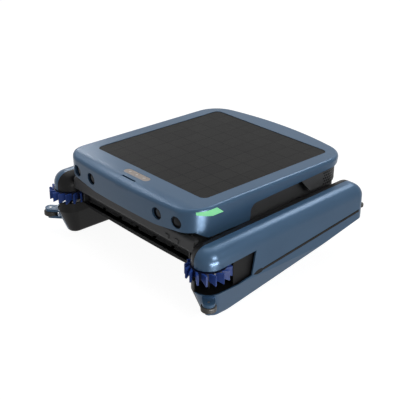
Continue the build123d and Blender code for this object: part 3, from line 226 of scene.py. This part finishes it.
def moulding(name, low, high, roughness, grain, metallic=0.0, specular=0.5, coat=0.0):
    """Moulded surface with soft shade changes, uneven gloss and fine grain."""
    material, shader = shader_of(name, roughness, metallic, specular, coat)
    clouds = noise_of(material, CLOUD_SCALE, CLOUD_DETAIL)
    blend_colours(material, shader, clouds.outputs["Fac"], low, high)
    vary_roughness(material, shader, clouds.outputs["Fac"], roughness - GLOSSIER, roughness + DULLER)
    fine = noise_of(material, GRAIN_SCALE, GRAIN_DETAIL)
    raise_grain(material, shader, fine.outputs["Fac"], grain, GRAIN_HEIGHT)
    return material


def cell_panel(name):
    """Dark laminate with a barely visible grid of cells and a dimpled skin."""
    material, shader = shader_of(name, CELL_ROUGHNESS)
    shader.inputs["IOR"].default_value = CELL_INDEX
    tree = material.node_tree
    place = tree.nodes.new("ShaderNodeTexCoord")
    shift = tree.nodes.new("ShaderNodeMapping")
    low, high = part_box("solar_panel")
    shift.inputs["Location"].default_value = (-low[0], -low[1], 0)
    cells = tree.nodes.new("ShaderNodeTexBrick")
    cells.offset = 0.0
    cells.inputs["Scale"].default_value = 1.0
    cells.inputs["Brick Width"].default_value = (high[0] - low[0]) / CELL_COLUMNS
    cells.inputs["Row Height"].default_value = (high[1] - low[1]) / CELL_ROWS
    cells.inputs["Mortar Size"].default_value = CELL_GAP
    cells.inputs["Mortar Smooth"].default_value = CELL_SOFTNESS
    cells.inputs["Color1"].default_value = (*CELL_DARK, 1)
    cells.inputs["Color2"].default_value = (*CELL_LIGHT, 1)
    cells.inputs["Mortar"].default_value = (*CELL_LINE, 1)
    tree.links.new(place.outputs["Object"], shift.inputs["Vector"])
    tree.links.new(shift.outputs["Vector"], cells.inputs["Vector"])
    tree.links.new(cells.outputs["Color"], shader.inputs["Base Color"])
    dimples = tree.nodes.new("ShaderNodeTexVoronoi")
    dimples.inputs["Scale"].default_value = DIMPLE_SCALE
    tree.links.new(place.outputs["Object"], dimples.inputs["Vector"])
    vary_roughness(material, shader, dimples.outputs["Distance"], *DIMPLE_ROUGHNESS)
    raise_grain(material, shader, dimples.outputs["Distance"], DIMPLE_STRENGTH, DIMPLE_HEIGHT)
    return material


def light_guide(name):
    """Green light guide with soft shade changes and a faint glow of its own."""
    material, shader = shader_of(name, GUIDE_ROUGHNESS, specular=GUIDE_SPECULAR)
    clouds = noise_of(material, GUIDE_SCALE, GUIDE_DETAIL)
    blend_colours(material, shader, clouds.outputs["Fac"], GREEN, GREEN_PALE)
    shader.inputs["Emission Color"].default_value = (*GREEN, 1)
    shader.inputs["Emission Strength"].default_value = GUIDE_GLOW
    return material


def brushed(name, low, high, roughness):
    """Plain metal with fine turning marks."""
    material, shader = shader_of(name, roughness, metallic=1.0)
    marks = noise_of(material, TURNING_SCALE, TURNING_DETAIL)
    blend_colours(material, shader, marks.outputs["Fac"], low, high)
    smooth = roughness - TURNING_SPREAD
    rough = roughness + TURNING_SPREAD
    vary_roughness(material, shader, marks.outputs["Fac"], smooth, rough)
    return material


blue = moulding(
    "blue_moulding",
    BLUE_SHADE,
    BLUE,
    roughness=0.3,
    grain=0.04,
    metallic=0.12,
    specular=0.16,
    coat=0.08,
)
panel = cell_panel("cell_laminate")
# Grey plastic, and painted light on the paddle roller
grey = moulding("grey_moulding_and_painted_light", GREY_SHADE, GREY, roughness=0.5, grain=0.2, specular=0.2)
shell = moulding("inner_shell", SHELL_SHADE, SHELL, roughness=0.38, grain=0.1, specular=0.15)
# Black plastic, and painted shade on the brush shafts
black = moulding("black_moulding_and_painted_shade", BLACK_SHADE, BLACK, roughness=0.45, grain=0.15, specular=0.1)
# Near-black with almost no gloss: painted shade on the chin scoop
painted_chin_shade = moulding("matte_black_chin_shade", BLACK_SHADE, BLACK, roughness=0.8, grain=0.15, specular=0.02)
pad = moulding("pale_pad", PAD_SHADE, PAD, roughness=0.4, grain=0.05)
icon = moulding("pale_print", ICON, ICON, roughness=0.5, grain=0.02)
light = light_guide("light_guide")
brush = moulding("brush_rubber", BRUSH_SHADE, BRUSH, roughness=0.45, grain=0.12, specular=0.15)
# Painted shade on the brushes' cores
painted_hub_shade = moulding("brush_core_painted_shade", SHADED_HUB_LOW, SHADED_HUB, roughness=0.45, grain=0.12, specular=0.3)
roller = moulding("roller_rubber", ROLLER_SHADE, ROLLER, roughness=0.5, grain=0.3, specular=0.35)
steel = brushed("plain_steel", STEEL_SHADE, STEEL, roughness=0.34)
board = moulding("circuit_board", BOARD_SHADE, BOARD, roughness=0.4, grain=0.1)
motor = moulding("motor_can", MOTOR_SHADE, MOTOR, roughness=0.4, grain=0.1, metallic=0.6)
sleeve = moulding("cell_sleeve", SLEEVE_SHADE, SLEEVE, roughness=0.3, grain=0.05)
lens = moulding("dark_lens", LENS, LENS, roughness=0.3, grain=0.0, specular=0.15)
inlay = moulding("strip_inlay", INLAY, INLAY, roughness=0.6, grain=0.15, specular=0.05)

SLOT_MATERIALS = {
    "blue": blue,
    "panel": panel,
    "grey": grey,
    "black": black,
    "pad": pad,
    "keys": pad,
    "light": light,
    "brush_blue": brush,
    "roller": roller,
    "seal": black,
    "steel": steel,
    "board": board,
    "motor": motor,
    "battery": sleeve,
    "sensor": lens,
}

for part in frame["record"]["subparts"]:
    piece = nodes[part["node"]]
    piece.data.materials.clear()
    piece.data.materials.append(SLOT_MATERIALS[part["material_slot"]])
# The chin scoop is painted as shade, so the front opening reads dark
nodes["chin_scoop"].data.materials[0] = painted_chin_shade
# The paddle roller is painted grey instead of black: painted light where it sits in shade
nodes["paddle_roller"].data.materials[0] = grey
for side in ("left", "right"):
    nodes[f"pontoon_inner_{side}"].data.materials[0] = shell
    # The brush shafts are painted black as shade in the bays
    nodes[f"brush_shaft_{side}"].data.materials[0] = black
    # Faces near each brush's axis take the painted shade of its core
    low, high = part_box(f"side_brush_{side}")
    axis_x = (low[0] + high[0]) / 2
    axis_y = (low[1] + high[1]) / 2
    brush_mesh = nodes[f"side_brush_{side}"].data
    brush_mesh.materials.append(painted_hub_shade)
    for face in brush_mesh.polygons:
        if math.hypot(face.center.x - axis_x, face.center.y - axis_y) < PAINTED_SHADE_RADIUS:
            face.material_index = 1


# Small pieces
def piece_of(name, points, faces, material, body):
    """New piece that goes with one body."""
    mesh = bpy.data.meshes.new(name)
    mesh.from_pydata(points, [], faces)
    mesh.materials.append(material)
    made = bpy.data.objects.new(name, mesh)
    bpy.context.collection.objects.link(made)
    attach(made, body)
    return made


def add_prism(points, faces, outline, low, high):
    """Upright prism over a convex outline."""
    start = len(points)
    count = len(outline)
    points.extend((x, y, low) for x, y in outline)
    points.extend((x, y, high) for x, y in outline)
    faces.append([start + place for place in reversed(range(count))])
    faces.append([start + count + place for place in range(count)])
    for place in range(count):
        after = (place + 1) % count
        faces.append([start + place, start + after, start + count + after, start + count + place])


def add_ribbon(points, faces, line, width, depth):
    """Low strip along a line of places with their normals."""
    start = len(points)
    for place, (spot, normal) in enumerate(line):
        before = line[max(place - 1, 0)][0]
        after = line[min(place + 1, len(line) - 1)][0]
        aside = normal.cross(after - before).normalized() * (width / 2)
        for edge in (spot + aside, spot - aside):
            points.append(edge + normal * depth)
        for edge in (spot - aside, spot + aside):
            points.append(edge - normal * depth)
    for place in range(len(line) - 1):
        first = start + 4 * place
        for corner in range(4):
            beside = (corner + 1) % 4
            faces.append([first + corner, first + beside, first + 4 + beside, first + 4 + corner])
    last = start + 4 * (len(line) - 1)
    faces.append([start + corner for corner in (3, 2, 1, 0)])
    faces.append([last + corner for corner in range(4)])


def lens_dome(name, x, turn):
    """Shallow glossy dome on the floor of a sensor."""
    source = Vector((x, -REACH, SENSOR_Z))
    _, spot, _, _ = nodes["range_sensors"].ray_cast(source, Vector((0, 1, 0)))
    points = []
    faces = []
    for ring in range(LENS_RINGS + 1):
        tilt = math.pi / 2 * ring / LENS_RINGS
        for step in range(LENS_STEPS):
            angle = 2 * math.pi * step / LENS_STEPS
            across = LENS_RADIUS * math.cos(tilt) * math.cos(angle)
            rise = LENS_RADIUS * math.cos(tilt) * math.sin(angle)
            out = LENS_BULGE * math.sin(tilt)
            place_x = x + across * math.cos(turn) + out * math.sin(turn)
            place_y = spot.y + across * math.sin(turn) - out * math.cos(turn)
            points.append((place_x, place_y, SENSOR_Z + rise))
    for ring in range(LENS_RINGS):
        for step in range(LENS_STEPS):
            after = (step + 1) % LENS_STEPS
            low = ring * LENS_STEPS
            faces.append([low + step, low + after, low + LENS_STEPS + after, low + LENS_STEPS + step])
    faces.append(list(reversed(range(LENS_STEPS))))
    dome = piece_of(name, points, faces, lens, "lid")
    for face in dome.data.polygons:
        face.use_smooth = len(face.vertices) == 4
    return dome


for side, sign in (("left", -1), ("right", 1)):
    for number, (x, toe) in enumerate(SENSOR_ROW):
        lens_dome(f"sensor_lens_{side}_{number}", sign * x, sign * math.radians(toe))


def key_centre(node):
    """Middle of a key seen from above."""
    low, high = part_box(node)
    return (low[0] + high[0]) / 2, (low[1] + high[1]) / 2


def ring_mark(centre_x, centre_y, start, end):
    """Part of a ring as short prisms."""
    points = []
    faces = []
    inner = MARK_RADIUS - MARK_LINE
    for step in range(MARK_STEPS):
        first = start + (end - start) * step / MARK_STEPS
        second = start + (end - start) * (step + 1) / MARK_STEPS
        outline = []
        for radius, angle in ((inner, first), (MARK_RADIUS, first), (MARK_RADIUS, second), (inner, second)):
            outline.append((centre_x + radius * math.cos(angle), centre_y + radius * math.sin(angle)))
        add_prism(points, faces, outline, *MARK_Z)
    return points, faces


mark_x, mark_y = key_centre("key_left")
ring_points, ring_faces = ring_mark(mark_x, mark_y, *OPEN_RING)
stem = [
    (mark_x - MARK_LINE / 2, mark_y),
    (mark_x + MARK_LINE / 2, mark_y),
    (mark_x + MARK_LINE / 2, mark_y + MARK_RADIUS),
    (mark_x - MARK_LINE / 2, mark_y + MARK_RADIUS),
]
add_prism(ring_points, ring_faces, stem, *MARK_Z)
piece_of("mark_left", ring_points, ring_faces, icon, "key_left")

mark_x, mark_y = key_centre("key_middle")
wedge = [
    (mark_x - WEDGE_BACK, mark_y - MARK_RADIUS),
    (mark_x + MARK_RADIUS, mark_y),
    (mark_x - WEDGE_BACK, mark_y + MARK_RADIUS),
]
wedge_points = []
wedge_faces = []
add_prism(wedge_points, wedge_faces, wedge, *MARK_Z)
piece_of("mark_middle", wedge_points, wedge_faces, icon, "key_middle")

mark_x, mark_y = key_centre("key_right")
ring_points, ring_faces = ring_mark(mark_x, mark_y, *FULL_RING)
piece_of("mark_right", ring_points, ring_faces, icon, "key_right")


def mesh_hole(sign, y, z):
    """Places on the basket's end below and above the middle of one hole."""
    line = []
    for rise in (-MESH_HOLE / 2, MESH_HOLE / 2):
        source = Vector((sign * REACH, y, z + rise))
        hit, spot, normal, _ = nodes["basket_end"].ray_cast(source, Vector((-sign, 0, 0)))
        if hit:
            line.append((spot, normal))
    return line


mesh_rows = int((MESH_Z[1] - MESH_Z[0]) / MESH_PITCH) + 1
mesh_columns = int((MESH_Y[1] - MESH_Y[0]) / MESH_PITCH) + 1
for side, sign in (("left", -1), ("right", 1)):
    mesh_points = []
    mesh_faces = []
    for row in range(mesh_rows):
        stagger = MESH_PITCH / 2 * (row % 2)
        for column in range(mesh_columns):
            hole_y = MESH_Y[0] + stagger + column * MESH_PITCH
            line = mesh_hole(sign, hole_y, MESH_Z[0] + row * MESH_PITCH)
            if len(line) == 2:
                add_ribbon(mesh_points, mesh_faces, line, MESH_HOLE, MESH_RAISE)
    piece_of(f"corner_mesh_{side}", mesh_points, mesh_faces, black, "basket")
    strip_line = []
    for strip_y, strip_z in STRIP_ENDS:
        strip_line.append((Vector((sign * STRIP_X, strip_y, strip_z)), Vector((sign, 0, 0))))
    strip_points = []
    strip_faces = []
    add_ribbon(strip_points, strip_faces, strip_line, STRIP_LINE, STRIP_RAISE)
    piece_of(f"strip_line_{side}", strip_points, strip_faces, inlay, "hull")


# Camera
camera_data = bpy.data.cameras.new("camera")
camera_data.sensor_width = CAMERA_SENSOR
camera_data.lens = CAMERA_LENS
camera = bpy.data.objects.new("camera", camera_data)
camera.location = CAMERA_PLACE
look = Vector(CAMERA_TARGET) - Vector(CAMERA_PLACE)
camera.rotation_euler = look.to_track_quat("-Z", "Y").to_euler()
bpy.context.collection.objects.link(camera)
bpy.context.scene.camera = camera


# Lights, world and floor
def soft_box(name, place, target, width, height, power, fills=True):
    """Rectangular lamp that faces its target. One that does not fill shows only as a reflection."""
    data = bpy.data.lights.new(name, "AREA")
    data.shape = "RECTANGLE"
    data.size = width
    data.size_y = height
    data.energy = power
    lamp = bpy.data.objects.new(name, data)
    lamp.location = place
    aim = Vector(target) - Vector(place)
    lamp.visible_camera = False
    lamp.visible_diffuse = fills
    lamp.rotation_euler = aim.to_track_quat("-Z", "Y").to_euler()
    bpy.context.collection.objects.link(lamp)
    return lamp


def shown_rays(tree):
    """One for the rays that show the background, and none for the light that falls on the object."""
    rays = tree.nodes.new("ShaderNodeLightPath")
    direct = tree.nodes.new("ShaderNodeMath")
    direct.operation = "MAXIMUM"
    either = tree.nodes.new("ShaderNodeMath")
    either.operation = "MAXIMUM"
    tree.links.new(rays.outputs["Is Camera Ray"], direct.inputs[0])
    tree.links.new(rays.outputs["Is Glossy Ray"], direct.inputs[1])
    tree.links.new(direct.outputs["Value"], either.inputs[0])
    tree.links.new(rays.outputs["Is Transmission Ray"], either.inputs[1])
    return either.outputs["Value"]


soft_box("overhead", (-0.3, 0.3, 2.4), CENTRE, width=1.8, height=1.8, power=17.0)
soft_box("side_fill", (1.6, -0.2, 0.9), CENTRE, width=0.8, height=0.6, power=5.2)
soft_box("front_edge", (-1.5, 0.2, 1.6), CENTRE, width=0.3, height=0.2, power=2.4, fills=False)
soft_box("rear_edge", (-1.8, 0.8, 1.05), CENTRE, width=0.2, height=0.15, power=1.5, fills=False)
soft_box("crown_edge", (-0.05, 1.4, 1.7), CENTRE, width=0.9, height=0.5, power=14.0, fills=False)
soft_box("nose_box", (1.53, -0.07, 0.81), NOSE, width=0.6, height=0.45, power=20.0, fills=False)
soft_box("corner_strip", (0.56, -0.22, 0.04), CORNER, width=0.30, height=0.10, power=3.6, fills=False)

world = bpy.data.worlds.new("world")
bpy.context.scene.world = world
world.use_nodes = True
world_tree = world.node_tree
world_nodes = world_tree.nodes
backdrop = world_nodes["Background"]
backdrop.inputs["Color"].default_value = WHITE
world_seen = shown_rays(world_tree)
strength = world_nodes.new("ShaderNodeMapRange")
strength.inputs["To Min"].default_value = WORLD_FILL
strength.inputs["To Max"].default_value = WORLD_SHOWN
world_tree.links.new(world_seen, strength.inputs["Value"])
world_tree.links.new(strength.outputs["Result"], backdrop.inputs["Strength"])

floor_mesh = bpy.data.meshes.new("floor")
half = FLOOR_SIZE / 2
floor_corners = [(-half, -half), (half, -half), (half, half), (-half, half)]
floor_mesh.from_pydata([(x, y, -FLOOR_DROP) for x, y in floor_corners], [], [(0, 1, 2, 3)])
floor = bpy.data.objects.new("floor", floor_mesh)
bpy.context.collection.objects.link(floor)
floor_material, floor_shader = shader_of("pale_floor", FLOOR_ROUGHNESS, specular=FLOOR_SPECULAR)
floor_shader.inputs["Base Color"].default_value = (*FLOOR_COLOUR, 1)
floor_shader.inputs["Emission Color"].default_value = WHITE
floor_tree = floor_material.node_tree
floor_seen = shown_rays(floor_tree)
floor_strength = floor_tree.nodes.new("ShaderNodeMapRange")
floor_strength.inputs["To Max"].default_value = FLOOR_GLOW
floor_tree.links.new(floor_seen, floor_strength.inputs["Value"])
floor_tree.links.new(floor_strength.outputs["Result"], floor_shader.inputs["Emission Strength"])
floor_mesh.materials.append(floor_material)

bpy.context.scene.view_settings.view_transform = "Standard"
